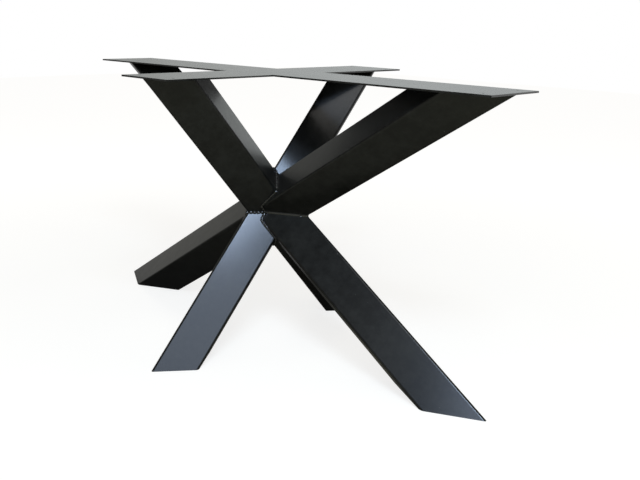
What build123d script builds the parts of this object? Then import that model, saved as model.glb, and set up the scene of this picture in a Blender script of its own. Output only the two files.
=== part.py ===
from build123d import *
from math import asin, atan2, cos, hypot, pi, sin, sqrt
import os

# A welded steel table base. Eight square tubes, each turned so that one corner of its section points up,
# meet at a waist: four rise to a flat cross of steel strips and four run down to the floor.
# Millimetres, +Z up, origin on the floor below the waist, X along the longer arms.

# Overall size
overall_length = 1400.0
overall_width = 810.0
overall_height = 720.0

# Square tube of the legs
tube_side = 100.0
tube_wall = 3.0
tube_corner_radius = 6.0

# Flat strips under the table top
strip_width = 180.0
strip_thickness = 4.0

# Screw holes near the corners of the strips' ends
screw_hole_diameter = 6.5
screw_end_inset = 35.0
screw_edge_inset = 25.0

# Plates that close the tubes at the floor
foot_plate_thickness = 4.0
foot_plate_gap = 0.3

# Heights and reaches that follow from the sizes above
strip_underside = overall_height - strip_thickness
waist_height = strip_underside / 2
long_reach = overall_length / 2
short_reach = overall_width / 2
short_arm = short_reach - strip_width / 2

# Tube section: distance from the axis to a rounded corner, and the size of the bore
corner_reach = tube_side / sqrt(2) - tube_corner_radius * (sqrt(2) - 1)
bore_side = tube_side - 2 * tube_wall
bore_corner_radius = tube_corner_radius - tube_wall
plate_side = bore_side - 2 * foot_plate_gap
plate_corner_radius = bore_corner_radius - foot_plate_gap

# Longer than any leg, so that the flat cuts give each tube its ends
stock_length = hypot(overall_length, overall_height)

# Arms in plan, a quarter turn apart, the first along +X
arms = ("right", "back", "left", "front")
long_arms = ("right", "left")
short_arms = ("front", "back")


def plan_angle(arm):
    # Angle of an arm from +X, in radians.
    return arms.index(arm) * pi / 2


def leg_plane(arm, half):
    # Section plane at the waist, square to a leg whose outer corner ends at the arm's reach.
    turn = plan_angle(arm)
    reach = long_reach if arm in long_arms else short_reach
    slope = atan2(waist_height, reach) + asin(corner_reach / hypot(reach, waist_height))
    rise = sin(slope) if half == "upper" else -sin(slope)
    across = (-sin(turn), cos(turn), 0)
    along = (cos(slope) * cos(turn), cos(slope) * sin(turn), rise)
    return Plane(origin=(0, 0, waist_height), x_dir=across, z_dir=along)


def arm_plane(arm):
    # Upright plane through the waist, facing along the arm.
    turn = plan_angle(arm)
    return Plane(origin=(0, 0, waist_height), z_dir=(cos(turn), sin(turn), 0))


def tube_leg(arm, half, neighbours=None):
    # One leg: a tube mitred at the waist, flat at its far end, and coped round its neighbours if they run through.
    with BuildPart() as leg:
        with BuildSketch(leg_plane(arm, half)):
            RectangleRounded(tube_side, tube_side, tube_corner_radius, rotation=45)
            RectangleRounded(bore_side, bore_side, bore_corner_radius, rotation=45, mode=Mode.SUBTRACT)
        extrude(amount=stock_length, both=True)
        split(bisect_by=arm_plane(arm), keep=Keep.TOP)
        if half == "upper":
            split(bisect_by=Plane.XY.offset(waist_height), keep=Keep.TOP)
            split(bisect_by=Plane.XY.offset(strip_underside), keep=Keep.BOTTOM)
        else:
            split(bisect_by=Plane.XY.offset(waist_height), keep=Keep.BOTTOM)
            split(bisect_by=Plane.XY, keep=Keep.TOP)
        if neighbours:
            add(neighbours, mode=Mode.SUBTRACT)
    return leg.part


def foot_plate(arm):
    # Plate let into the foot of a lower leg, with edges that follow the slanted bore.
    with BuildPart() as plate:
        with BuildSketch(leg_plane(arm, "lower")):
            RectangleRounded(plate_side, plate_side, plate_corner_radius, rotation=45)
        extrude(amount=stock_length)
        split(bisect_by=Plane.XY, keep=Keep.TOP)
        split(bisect_by=Plane.XY.offset(foot_plate_thickness), keep=Keep.BOTTOM)
    return plate.part


# Outside of the long legs, which run through the waist as a full X
with BuildPart() as long_cross:
    for half in ("upper", "lower"):
        with BuildSketch(leg_plane("right", half)):
            RectangleRounded(tube_side, tube_side, tube_corner_radius, rotation=45)
        extrude(amount=stock_length, both=True)

pieces = {}

# Legs: the long ones are mitred to each other, the short ones are coped against them
for half in ("upper", "lower"):
    for arm in long_arms:
        pieces[f"{half}_leg_{arm}"] = tube_leg(arm, half)
    for arm in short_arms:
        pieces[f"{half}_leg_{arm}"] = tube_leg(arm, half, long_cross.part)

# Foot plates
for arm in arms:
    pieces[f"foot_plate_{arm}"] = foot_plate(arm)

# Long top strip, from end to end over the long legs
with BuildPart() as long_top_strip:
    with BuildSketch(Plane.XY.offset(strip_underside)):
        Rectangle(overall_length, strip_width)
        with GridLocations(overall_length - 2 * screw_end_inset, strip_width - 2 * screw_edge_inset, 2, 2):
            Circle(screw_hole_diameter / 2, mode=Mode.SUBTRACT)
    extrude(amount=strip_thickness)
pieces["long_top_strip"] = long_top_strip.part

# Short top strips, butted to the long strip's edges and flush with it
for arm, toward in (("front", -1), ("back", 1)):
    with BuildPart() as short_top_strip:
        with BuildSketch(Plane.XY.offset(strip_underside)):
            with Locations((0, toward * (short_reach - short_arm / 2))):
                Rectangle(strip_width, short_arm)
            with Locations((0, toward * (short_reach - screw_end_inset))):
                with GridLocations(strip_width - 2 * screw_edge_inset, 0, 2, 1):
                    Circle(screw_hole_diameter / 2, mode=Mode.SUBTRACT)
        extrude(amount=strip_thickness)
    pieces[f"short_top_strip_{arm}"] = short_top_strip.part

os.makedirs("parts", exist_ok=True)
for name, piece in pieces.items():
    piece.label = name
    export_step(piece, f"parts/{name}.step")
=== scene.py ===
from math import asin, atan2, cos, hypot, pi, radians, sin, sqrt

import bmesh
import bpy
from mathutils import Matrix, Quaternion, Vector


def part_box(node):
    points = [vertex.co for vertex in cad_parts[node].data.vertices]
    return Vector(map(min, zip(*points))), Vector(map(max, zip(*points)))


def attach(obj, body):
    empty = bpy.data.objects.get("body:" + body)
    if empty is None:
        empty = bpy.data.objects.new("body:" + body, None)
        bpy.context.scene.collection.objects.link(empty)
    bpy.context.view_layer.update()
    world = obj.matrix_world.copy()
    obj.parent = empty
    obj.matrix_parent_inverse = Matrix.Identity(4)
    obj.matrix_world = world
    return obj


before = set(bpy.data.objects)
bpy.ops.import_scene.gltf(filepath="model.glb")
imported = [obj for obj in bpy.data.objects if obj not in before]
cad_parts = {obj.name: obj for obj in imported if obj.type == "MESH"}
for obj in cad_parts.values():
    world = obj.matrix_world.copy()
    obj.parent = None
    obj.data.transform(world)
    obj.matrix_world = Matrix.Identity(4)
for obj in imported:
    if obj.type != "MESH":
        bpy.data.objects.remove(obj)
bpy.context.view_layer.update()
print("frame loaded:", len(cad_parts), "nodes")


# small helpers for shader trees

def addNode(tree, kind, **settings):
    node = tree.nodes.new(kind)
    for name, value in settings.items():
        setattr(node, name, value)
    return node


def noiseAt(tree, vector, scale, detail=2.0, roughness=0.5):
    noise = addNode(tree, "ShaderNodeTexNoise")
    noise.inputs["Scale"].default_value = scale
    noise.inputs["Detail"].default_value = detail
    noise.inputs["Roughness"].default_value = roughness
    tree.links.new(vector, noise.inputs["Vector"])
    return noise.outputs["Fac"]


def remap(tree, value, fromRange, toRange=(0.0, 1.0)):
    node = addNode(tree, "ShaderNodeMapRange", clamp=True)
    node.inputs["From Min"].default_value, node.inputs["From Max"].default_value = fromRange
    node.inputs["To Min"].default_value, node.inputs["To Max"].default_value = toRange
    tree.links.new(value, node.inputs["Value"])
    return node.outputs["Result"]


def combine(tree, operation, first, second):
    node = addNode(tree, "ShaderNodeMath", operation=operation)
    for socket, value in zip(node.inputs, (first, second)):
        if isinstance(value, (int, float)):
            socket.default_value = value
        else:
            tree.links.new(value, socket)
    return node.outputs["Value"]


def dot(tree, first, second):
    node = addNode(tree, "ShaderNodeVectorMath", operation="DOT_PRODUCT")
    tree.links.new(first, node.inputs[0])
    if isinstance(second, Vector):
        node.inputs[1].default_value = second
    else:
        tree.links.new(second, node.inputs[1])
    return node.outputs["Value"]


def mixColour(tree, factor, first, second):
    node = addNode(tree, "ShaderNodeMix", data_type="RGBA")
    tree.links.new(factor, node.inputs["Factor"])
    for name, value in (("A", first), ("B", second)):
        socket = [s for s in node.inputs if s.name == name and s.type == "RGBA"][0]
        if isinstance(value, tuple):
            socket.default_value = (*value, 1.0)
        else:
            tree.links.new(value, socket)
    return [s for s in node.outputs if s.type == "RGBA"][0]


# black satin powder coat; scales are per metre, depths and reaches in metres
coat = {
    "deepBlack": (0.0040, 0.0039, 0.0030),
    "paleBlack": (0.0150, 0.0148, 0.0122),
    "paleFrom": (0.40, 0.62),       # span of the patches from deep to pale
    "worn": (0.045, 0.045, 0.043),
    "dust": (0.10, 0.10, 0.095),
    "haze": (0.36, 0.50),           # roughness of the wide, dull part of the sheen
    "hazeFrom": (0.36, 0.66),       # span of the patches from glossy to dull
    "specular": 0.09,
    "gloss": 0.8,                   # weight of the clearer part
    "glossRoughness": 0.18,
    "glossIor": 1.45,
    "cloudScale": 7.0,              # soft patches
    "wipeScale": 38.0,              # wiping marks
    "wipeShare": 0.5,
    "speckScale": 150.0,
    "speckFrom": (0.80, 0.86),      # only the peaks of the noise become specks
    "peelScale": 620.0,             # orange peel of the cured powder
    "grainScale": 2100.0,
    "grainShare": 0.35,
    "peelDepth": 0.00002,
    "peelStrength": 0.5,
    "edgeReach": 0.0022,            # wear along sharp edges
    "edgeFrom": (0.99, 0.80),       # cosine of the edge's turn where wear starts, and where it is full
    "edgeWear": 0.35,
    "rubFrom": (0.40, 0.62),        # span of the wiping marks that breaks the wear up
}
beadCoat = {**coat, "gloss": 1.0, "glossIor": 1.7, "glossRoughness": 0.14}    # thicker on the welds


def powderCoat(name, look):
    material = bpy.data.materials.new(name)
    material.use_nodes = True
    tree = material.node_tree
    shader = tree.nodes["Principled BSDF"]
    place = addNode(tree, "ShaderNodeTexCoord").outputs["Object"]

    cloud = noiseAt(tree, place, look["cloudScale"], detail=4.0, roughness=0.6)
    wipe = noiseAt(tree, place, look["wipeScale"], detail=5.0, roughness=0.65)
    soft = combine(tree, "MULTIPLY", cloud, 1 - look["wipeShare"])
    patches = combine(tree, "ADD", soft, combine(tree, "MULTIPLY", wipe, look["wipeShare"]))

    # colour: deep and pale black in soft patches, a few specks of dust
    black = mixColour(tree, remap(tree, patches, look["paleFrom"]), look["deepBlack"], look["paleBlack"])
    speck = remap(tree, noiseAt(tree, place, look["speckScale"], detail=1.0), look["speckFrom"])
    dusty = mixColour(tree, speck, black, look["dust"])

    # paler along sharp edges, in broken lengths
    rounded = addNode(tree, "ShaderNodeBevel", samples=4)
    rounded.inputs["Radius"].default_value = look["edgeReach"]
    flat = addNode(tree, "ShaderNodeNewGeometry").outputs["Normal"]
    turn = dot(tree, rounded.outputs["Normal"], flat)
    edge = remap(tree, turn, look["edgeFrom"], (0.0, look["edgeWear"]))
    rubbed = combine(tree, "MULTIPLY", edge, remap(tree, wipe, look["rubFrom"]))
    tree.links.new(mixColour(tree, rubbed, dusty, look["worn"]), shader.inputs["Base Color"])

    # sheen: the same patches are glossier or duller
    tree.links.new(remap(tree, patches, look["hazeFrom"], look["haze"]), shader.inputs["Roughness"])
    shader.inputs["Specular IOR Level"].default_value = look["specular"]
    shader.inputs["Coat Weight"].default_value = look["gloss"]
    shader.inputs["Coat Roughness"].default_value = look["glossRoughness"]
    shader.inputs["Coat IOR"].default_value = look["glossIor"]

    # orange peel with a finer grain on it
    peel = noiseAt(tree, place, look["peelScale"], detail=1.0)
    grain = combine(tree, "MULTIPLY", noiseAt(tree, place, look["grainScale"]), look["grainShare"])
    bump = addNode(tree, "ShaderNodeBump")
    bump.inputs["Strength"].default_value = look["peelStrength"]
    bump.inputs["Distance"].default_value = look["peelDepth"]
    tree.links.new(combine(tree, "ADD", peel, grain), bump.inputs["Height"])
    tree.links.new(bump.outputs["Normal"], shader.inputs["Normal"])
    return material


coatMaterial = powderCoat("powderCoat", coat)
beadMaterial = powderCoat("beadCoat", beadCoat)
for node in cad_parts.values():
    node.data.materials.clear()
    node.data.materials.append(coatMaterial)
print("powder coat on", len(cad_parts), "nodes")


# sizes of the tubes and where they cross, read from the frame
longLow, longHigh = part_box("upper_leg_right")
longReach = longHigh.x
shortReach = -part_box("upper_leg_front")[0].y
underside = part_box("long_top_strip")[0].z
waist = longLow.z
rise = longHigh.z - longLow.z
tubeCorner = 0.006                                      # rounding of the tube's corners
cornerReach = longHigh.y                                # axis to a rounded corner
sharpReach = cornerReach + tubeCorner * (sqrt(2) - 1)   # axis to the corner before rounding


def legSlope(reach):
    return atan2(rise, reach) + asin(cornerReach / hypot(reach, rise))


longSlope = legSlope(longReach)
shortSlope = legSlope(shortReach)


# joint lines around the waist for the quarter at +X, -Y, heights above the waist
def waistPoints():
    reach = sharpReach
    sinLong, cosLong = sin(longSlope), cos(longSlope)
    sinShort, cosShort = sin(shortSlope), cos(shortSlope)
    ridge = reach * (cosLong - cosShort) / (sinLong * cosShort + cosLong)
    shoulder = reach * (1 + sinLong) / (sinShort / cosShort * cosLong + 1)
    flank = reach * (1 - sinShort) / (1 - sinLong / cosLong * cosShort)
    inner = reach * (1 - sinShort) / (1 - sinLong * sinShort)
    return {
        "ridge": Vector((ridge, 0, (reach - ridge) / cosShort)),
        "shoulder": Vector((reach, -shoulder, shoulder * sinShort / cosShort)),
        "flank": Vector((flank, -reach, flank * sinLong / cosLong)),
        "inner": Vector((inner, inner * sinLong - reach, 0)),
        "longNotch": Vector((reach / sinLong, 0, 0)),
        "shortNotch": Vector((0, -reach / sinShort, 0)),
        "crotch": Vector((0, 0, reach / cosShort)),
    }


# weld beads: a round section drawn along a joint line, narrowing with each ripple
waistBead = {
    "radius": 0.0046,
    "proud": 0.0018,        # how far the section's centre stands outside the joint line
    "ripple": 0.30,
    "pitch": 0.0085,
    "sides": 12,
    "cornerCut": 0.0065,
}
notchBead = {**waistBead, "radius": 0.0030, "proud": 0.0008}
flatBead = {                # ground nearly flush
    **waistBead,
    "radius": 0.0120,
    "proud": -0.0091,
    "ripple": 0.06,
    "sides": 36,
}
stripBead = {
    **waistBead,
    "radius": 0.0028,
    "proud": 0.0006,
    "ripple": 0.24,
    "pitch": 0.0075,
    "sides": 8,
}
beadForm = {
    "ringsPerRipple": 6,
    "waver": 0.2,           # slow change of width, as a share of the ripple
    "waverStep": 0.37,
    "endTaper": 0.45,
    "cornerSteps": 4,
    "dropDivisions": 3,
}
notchDrop = {               # drops along the short notch
    "length": 0.0056,
    "radius": 0.0040,
    "proud": 0.0020,
    "pitch": 0.0093,
}
cornerDrop = {              # where the lower beads meet
    "length": 0.0080,
    "radius": 0.0050,
    "proud": 0.0018,
    "below": 0.009,
}
tipGap = 0.016              # beads under the strips stop short of the tubes' tips


def cutCorners(path, cut):
    # each inner corner becomes a short curve that starts and ends at the cut
    smooth = [path[0]]
    for before, corner, after in zip(path, path[1:], path[2:]):
        start = corner + (before - corner).normalized() * min(cut, (before - corner).length / 2)
        end = corner + (after - corner).normalized() * min(cut, (after - corner).length / 2)
        for step in range(beadForm["cornerSteps"] + 1):
            t = step / beadForm["cornerSteps"]
            smooth.append((1 - t) ** 2 * start + 2 * t * (1 - t) * corner + t * t * end)
    smooth.append(path[-1])
    return smooth


def stationsAlong(path, spacing):
    # evenly spaced points on the path, each with the path's direction there
    lengths = [(end - start).length for start, end in zip(path, path[1:])]
    count = max(2, round(sum(lengths) / spacing))
    stations = []
    for index in range(count + 1):
        distance = sum(lengths) * index / count
        run = 0
        while run < len(lengths) - 1 and distance > lengths[run]:
            distance -= lengths[run]
            run += 1
        start, end = path[run], path[run + 1]
        stations.append((start.lerp(end, distance / lengths[run]), (end - start).normalized()))
    return stations


def beadSize(bead, index, last):
    rings = beadForm["ringsPerRipple"]
    narrowing = bead["ripple"] * (index % rings) / (rings - 1)
    waver = bead["ripple"] * beadForm["waver"] * sin(index * beadForm["waverStep"])
    size = bead["radius"] * (1 - narrowing + waver)
    return size * beadForm["endTaper"] if index in (0, last) else size


def standProud(point, along, heart, proud):
    # the point moved square to the joint line, away from heart
    outward = point - heart
    outward -= outward.dot(along) * along
    return point + outward.normalized() * proud


def appendTo(target, bm):
    mesh = bpy.data.meshes.new("part")
    bm.to_mesh(mesh)
    bm.free()
    target.from_mesh(mesh)
    bpy.data.meshes.remove(mesh)


def layBead(target, path, heart, bead):
    # the bead grows ring by ring along the path
    bm = bmesh.new()
    spacing = bead["pitch"] / beadForm["ringsPerRipple"]
    stations = stationsAlong(cutCorners(path, bead["cornerCut"]), spacing)
    turn = stations[0][1].to_track_quat("Z", "Y")
    placed = None
    for index, (point, along) in enumerate(stations):
        turn = (turn @ Vector((0, 0, 1))).rotation_difference(along) @ turn
        size = beadSize(bead, index, len(stations) - 1)
        middle = standProud(point, along, heart, bead["proud"])
        matrix = Matrix.LocRotScale(middle, turn, Vector((size, size, size)))
        if placed is None:
            ring = bmesh.ops.create_circle(
                bm, cap_ends=True, segments=bead["sides"], radius=1.0, matrix=matrix)
            edges = list({e for v in ring["verts"] for e in v.link_edges})
        else:
            grown = bmesh.ops.extrude_edge_only(bm, edges=edges)["geom"]
            verts = [g for g in grown if isinstance(g, bmesh.types.BMVert)]
            grownEdges = [g for g in grown if isinstance(g, bmesh.types.BMEdge)]
            edges = [e for e in grownEdges if all(v in verts for v in e.verts)]
            bmesh.ops.transform(bm, matrix=matrix @ placed.inverted(), verts=verts)
        placed = matrix
    bmesh.ops.edgeloop_fill(bm, edges=edges)
    bmesh.ops.recalc_face_normals(bm, faces=bm.faces)
    appendTo(target, bm)


def layDrop(target, point, along, heart, drop):
    # long drop lying along a joint line
    bm = bmesh.new()
    middle = standProud(point, along, heart, drop["proud"])
    size = Vector((drop["length"], drop["radius"], drop["radius"]))
    matrix = Matrix.LocRotScale(middle, along.to_track_quat("X", "Z"), size)
    bmesh.ops.create_icosphere(bm, subdivisions=beadForm["dropDivisions"], radius=1.0, matrix=matrix)
    appendTo(target, bm)


def mirrored(points, signs):
    # from the first quarter to another one, and from heights above the waist to the frame
    return [Vector((p.x * signs[0], p.y * signs[1], waist + p.z * signs[2])) for p in points]


def overMiddle(end, middle, signs, farSigns):
    # from a joint's end over its middle to the same end on the other side
    return mirrored([end, middle], signs) + mirrored([end], farSigns)


def addPiece(name, bm):
    mesh = bpy.data.meshes.new(name)
    bm.to_mesh(mesh)
    bm.free()
    mesh.shade_smooth()
    mesh.materials.append(beadMaterial)
    piece = bpy.data.objects.new(name, mesh)
    bpy.context.scene.collection.objects.link(piece)
    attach(piece, "root")
    print(name, len(mesh.polygons), "faces")


def weldWaist():
    joint = waistPoints()
    heart = Vector((0, 0, waist))
    corners = [joint[name] for name in ("ridge", "shoulder", "flank", "inner")]
    bm = bmesh.new()
    both = (1, -1)
    for z in both:
        for x in both:
            for y in both:
                path = mirrored(corners, (x, y, z))
                layBead(bm, path, heart, waistBead)
                if z < 0:
                    flank, inner = path[2:]
                    along = (flank - inner).normalized()
                    layDrop(bm, inner + along * cornerDrop["below"], along, heart, cornerDrop)
        path = overMiddle(joint["ridge"], joint["crotch"], (1, 1, z), (-1, 1, z))
        layBead(bm, path, heart, waistBead)
    for x in both:
        path = overMiddle(joint["inner"], joint["longNotch"], (x, 1, 1), (x, -1, 1))
        layBead(bm, path, heart, flatBead)
    for y in both:
        path = overMiddle(joint["inner"], joint["shortNotch"], (1, y, 1), (-1, y, 1))
        layBead(bm, path, heart, notchBead)
        for point, along in stationsAlong(path, notchDrop["pitch"]):
            layDrop(bm, point, along, heart, notchDrop)
    addPiece("waist_welds", bm)


def weldStrips():
    bm = bmesh.new()
    for slope, along in ((longSlope, Vector((1, 0, 0))), (shortSlope, Vector((0, 1, 0)))):
        across = Vector((along.y, along.x, 0))
        reach = sharpReach / sin(slope)
        for way in (1, -1):
            middle = along * way * rise / sin(slope) * cos(slope) + Vector((0, 0, underside))
            tip, inner = middle + along * way * reach, middle - along * way * reach
            left, right = middle + across * sharpReach, middle - across * sharpReach
            start = tip + (left - tip).normalized() * tipGap
            end = tip + (right - tip).normalized() * tipGap
            layBead(bm, [start, left, inner, right, end], middle, stripBead)
    addPiece("strip_welds", bm)


weldWaist()
weldStrips()


# degrees: azimuth round from +X, height above level
def direction(azimuth, height=0.0):
    turn, lift = radians(azimuth), radians(height)
    return Vector((cos(lift) * cos(turn), cos(lift) * sin(turn), sin(lift)))


def cameraRays(tree):
    path = addNode(tree, "ShaderNodeLightPath")
    return combine(tree, "MAXIMUM", path.outputs["Is Camera Ray"], path.outputs["Is Transmission Ray"])


def seenRays(tree, glossyShare):
    path = addNode(tree, "ShaderNodeLightPath")
    glossy = combine(tree, "MULTIPLY", path.outputs["Is Glossy Ray"], glossyShare)
    return combine(tree, "MAXIMUM", cameraRays(tree), glossy)


# plain pale floor: it carries the shadow and fades to white
# the coat shows it darker, with a painted light pool on the lamps' side and painted shade, darkest on
# the side away from the lamps
floorLook = {
    "half": 9.0,
    "drop": 0.0004,                     # just under the feet
    "colour": (0.33, 0.31, 0.26),
    "lift": (0.80, 0.92),               # added near the base and far from it
    "fade": (0.9, 2.6),
    "inCoat": (0.04, 0.18),             # share of the lift that shows in the coat, near and far
    "paintedLightInCoat": (0.45, 0.412, 0.28),     # painted light: floor colour as the coat shows it, on the lamps' side
    "paintedShadeInCoat": (0.02, 0.018, 0.012),    # painted shade: the same on the far side
    # metres along the lamps' side over which the painted shade turns into the painted light
    "paintedShadeSpan": (-0.25, 0.65),
    "behind": (-0.30, -0.55),           # from here the lift shows in the coat behind the base too
    "behindShare": 0.30,
    "lampSide": -45.0,
}


def paleFloor(look):
    material = bpy.data.materials.new("paleFloor")
    material.use_nodes = True
    tree = material.node_tree
    tree.nodes.remove(tree.nodes["Principled BSDF"])
    place = addNode(tree, "ShaderNodeTexCoord").outputs["Object"]

    # colour: plain to the camera; to the coat and to bounce light, painted light on the lamps' side and
    # painted shade on the far side
    matt = addNode(tree, "ShaderNodeBsdfDiffuse")
    side = dot(tree, place, direction(look["lampSide"]))
    inCoat = mixColour(tree, remap(tree, side, look["paintedShadeSpan"]), look["paintedShadeInCoat"], look["paintedLightInCoat"])
    tree.links.new(mixColour(tree, cameraRays(tree), inCoat, look["colour"]), matt.inputs["Color"])

    # lift to white
    glow = addNode(tree, "ShaderNodeEmission")
    away = addNode(tree, "ShaderNodeVectorMath", operation="LENGTH")
    tree.links.new(place, away.inputs[0])
    lift = remap(tree, away.outputs["Value"], look["fade"], look["lift"])
    aroundShare = remap(tree, away.outputs["Value"], look["fade"], look["inCoat"])
    behindShare = remap(tree, side, look["behind"], (0.0, look["behindShare"]))
    seen = seenRays(tree, combine(tree, "MAXIMUM", aroundShare, behindShare))
    tree.links.new(combine(tree, "MULTIPLY", lift, seen), glow.inputs["Strength"])

    both = addNode(tree, "ShaderNodeAddShader")
    tree.links.new(matt.outputs["BSDF"], both.inputs[0])
    tree.links.new(glow.outputs["Emission"], both.inputs[1])
    tree.links.new(both.outputs["Shader"], tree.nodes["Material Output"].inputs["Surface"])
    return material


def layFloor(look):
    bm = bmesh.new()
    drop = Matrix.Translation((0, 0, -look["drop"]))
    bmesh.ops.create_grid(bm, x_segments=1, y_segments=1, size=look["half"], matrix=drop)
    mesh = bpy.data.meshes.new("floor")
    bm.to_mesh(mesh)
    bm.free()
    mesh.materials.append(paleFloor(look))
    floor = bpy.data.objects.new("floor", mesh)
    bpy.context.scene.collection.objects.link(floor)


layFloor(floorLook)


# studio: even light all round and a pale backdrop behind the base
studio = {
    "ambient": (1.0, 0.955, 0.87),
    "ambientStrength": 0.20,
    "toCamera": (1.0, 1.0, 1.0),        # plain white behind the base
    "backdrop": 0.81,                   # how bright it looks in the coat
    "backdropColour": (0.95, 1.0, 1.0),
    "backdropAzimuth": 124.0,
    "backdropFocus": 5.0,
    "sides": 0.24,                      # how bright the rest looks in the coat
    "sidesColour": (1.0, 0.99, 0.91),
    "ceiling": 0.38,
    "ceilingFrom": (0.05, 0.60),
}

# soft panels: azimuth and height in degrees as seen from the waist, sizes in metres
lampDistance = 3.2
lamps = {
    "widePanel": {
        "azimuth": -39.7, "height": 26.9, "tilt": 15.0, "size": (1.80, 1.14),
        "radiance": 4.05, "colour": (0.665, 0.79, 1.0),
    },
    "brightPanel": {
        "azimuth": -40.0, "height": 44.5, "tilt": 26.0, "size": (0.70, 0.67),
        "radiance": 32.0, "colour": (0.595, 0.745, 1.0),
    },
    "sidePanel": {
        "azimuth": -29.0, "height": 44.0, "tilt": 7.0, "size": (0.34, 0.34),
        "radiance": 24.5, "colour": (0.55, 0.73, 1.0),
    },
    "fillPanel": {
        "azimuth": -66.0, "height": 44.6, "tilt": 0.0, "size": (0.85, 0.50),
        "radiance": 0.28, "colour": (1.0, 1.0, 0.86),
    },
    "overPanel": {
        "azimuth": -30.0, "height": 60.0, "tilt": 6.0, "size": (2.00, 0.80),
        "radiance": 2.6, "colour": (1.0, 0.98, 0.94),
    },
    "rimPanel": {                       # for the strips' edges that face +X
        "azimuth": 44.0, "height": 1.5, "tilt": 0.0, "size": (1.60, 0.50),
        "radiance": 1.2, "colour": (1.0, 1.0, 1.0),
    },
    "hairPanel": {
        "azimuth": 138.0, "height": 50.0, "tilt": 0.0, "size": (1.10, 0.90),
        "radiance": 3.0, "colour": (1.0, 1.0, 1.0),
    },
}


def lightStudio(look):
    scene = bpy.context.scene
    scene.view_settings.view_transform = "Standard"
    world = bpy.data.worlds.new("studio")
    scene.world = world
    world.use_nodes = True
    tree = world.node_tree
    even = tree.nodes["Background"]
    even.inputs["Color"].default_value = (*look["ambient"], 1.0)
    even.inputs["Strength"].default_value = look["ambientStrength"]

    # white to the camera; the coat sees the backdrop, duller sides and a duller ceiling
    seen = addNode(tree, "ShaderNodeBackground")
    toward = addNode(tree, "ShaderNodeTexCoord").outputs["Generated"]
    facing = combine(tree, "MAXIMUM", dot(tree, toward, direction(look["backdropAzimuth"])), 0.0)
    ahead = combine(tree, "POWER", facing, look["backdropFocus"])
    height = addNode(tree, "ShaderNodeSeparateXYZ")
    tree.links.new(toward, height.inputs["Vector"])
    around = remap(tree, ahead, (0.0, 1.0), (look["sides"], look["backdrop"]))
    dim = remap(tree, height.outputs["Z"], look["ceilingFrom"], (1.0, look["ceiling"]))
    room = combine(tree, "MULTIPLY", around, dim)
    isCamera = addNode(tree, "ShaderNodeLightPath").outputs["Is Camera Ray"]
    inCoat = mixColour(tree, ahead, look["sidesColour"], look["backdropColour"])
    tree.links.new(mixColour(tree, isCamera, inCoat, look["toCamera"]), seen.inputs["Color"])
    tree.links.new(combine(tree, "MAXIMUM", isCamera, room), seen.inputs["Strength"])

    choose = addNode(tree, "ShaderNodeMixShader")
    tree.links.new(seenRays(tree, 1.0), choose.inputs["Fac"])
    tree.links.new(even.outputs["Background"], choose.inputs[1])
    tree.links.new(seen.outputs["Background"], choose.inputs[2])
    tree.links.new(choose.outputs["Shader"], tree.nodes["World Output"].inputs["Surface"])


def hangLamp(name, look):
    toLamp = direction(look["azimuth"], look["height"])
    lamp = bpy.data.lights.new(name, "AREA")
    lamp.shape = "RECTANGLE"
    lamp.size, lamp.size_y = look["size"]
    lamp.color = look["colour"]
    lamp.energy = look["radiance"] * pi * lamp.size * lamp.size_y
    holder = bpy.data.objects.new(name, lamp)
    holder.location = Vector((0, 0, waist)) + toLamp * lampDistance
    lean = Quaternion((0, 0, 1), radians(-look["tilt"]))
    holder.rotation_euler = (toLamp.to_track_quat("Z", "Y") @ lean).to_euler()
    holder.visible_camera = False
    bpy.context.scene.collection.objects.link(holder)


lightStudio(studio)
for lampName, lampLook in lamps.items():
    hangLamp(lampName, lampLook)


# camera at the photograph's angle; pixels are those of a 640 x 480 image
view = {
    "place": (1.4986, -1.3967, 0.8514),
    "heading": 135.322,
    "dip": 14.712,
    "roll": -1.210,
    "focalPixels": 774.3,
    "axisPixel": (295.46, 223.12),
    "imageSize": (640, 480),
}


def aimCamera(look):
    heading, dip, roll = radians(look["heading"]), radians(look["dip"]), radians(look["roll"])
    forward = Vector((cos(dip) * cos(heading), cos(dip) * sin(heading), -sin(dip)))
    level = Vector((sin(heading), -cos(heading), 0))
    down = forward.cross(level)
    right = cos(roll) * level + sin(roll) * down
    up = -(cos(roll) * down - sin(roll) * level)
    width, height = look["imageSize"]
    lens = bpy.data.cameras.new("camera")
    lens.sensor_fit = "HORIZONTAL"
    lens.lens = look["focalPixels"] / width * lens.sensor_width
    lens.shift_x = (width / 2 - look["axisPixel"][0]) / width
    lens.shift_y = (look["axisPixel"][1] - height / 2) / width
    camera = bpy.data.objects.new("camera", lens)
    turn = Matrix((right, up, -forward)).transposed().to_4x4()
    camera.matrix_world = Matrix.Translation(look["place"]) @ turn
    bpy.context.scene.collection.objects.link(camera)
    bpy.context.scene.camera = camera


aimCamera(view)
print("floor, light and camera set")
